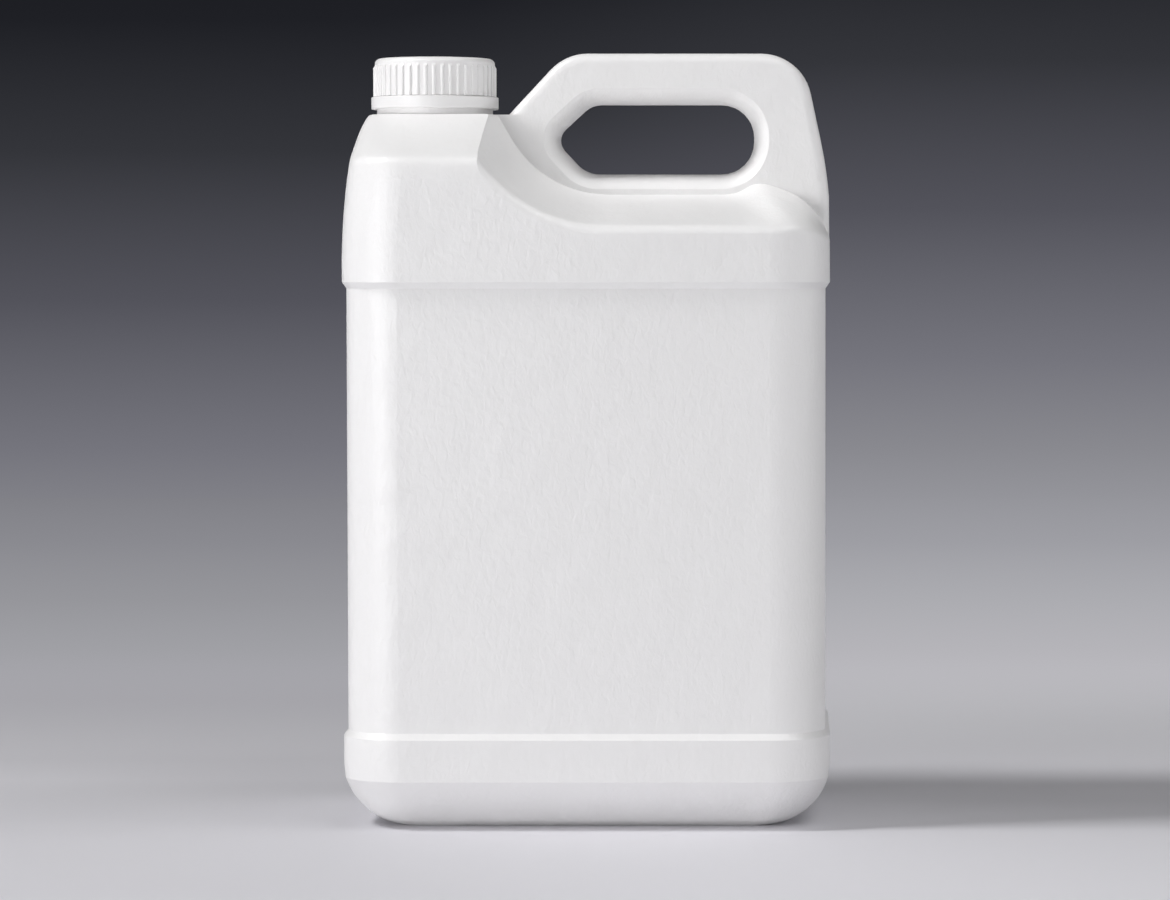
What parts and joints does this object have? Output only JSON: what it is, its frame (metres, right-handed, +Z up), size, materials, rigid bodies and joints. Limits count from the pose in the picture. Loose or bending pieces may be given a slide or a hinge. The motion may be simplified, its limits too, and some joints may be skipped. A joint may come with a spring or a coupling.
{
  "type": "f-style jug",
  "caption": "White blow-moulded f-style jug with a hollow through-grip handle, sunk label panel and ribbed screw cap over a tear-off band.",
  "frame": {"origin": "centre of the jug's overall box, on the surface it stands on", "axes": "+Z up to the handle, +X from the neck side to the handle's upright side, -Y the front face with the label panel"},
  "size_m": [0.1886, 0.125, 0.3],
  "materials": {
    "jug_plastic": "satin white high-density polyethylene, blown skin with a faint orange-peel grain",
    "cap_plastic": "smooth satin white polypropylene",
    "liner_foam": "soft matt polyethylene foam"
  },
  "bodies": {
    "jug": {"jug_body": "jug_plastic", "tamper_ring": "cap_plastic"},
    "liner": {"cap_liner": "liner_foam"},
    "cap": {"screw_cap": "cap_plastic"}
  },
  "joints": [
    {"name": "cap_lift", "type": "slide", "parent": "jug", "child": "liner", "axis": [0, 0, 1], "range_m": [0, 0.021]},
    {"name": "cap_turn", "type": "hinge", "parent": "liner", "child": "cap", "pos_m": [-0.0615, 0, 0.29], "axis": [0, 0, 1], "range_deg": [0, 1800]}
  ],
  "couplings": [
    {"joint": "cap_lift", "follows": "cap_turn", "m_per_rad": 0.00066845}
  ]
}
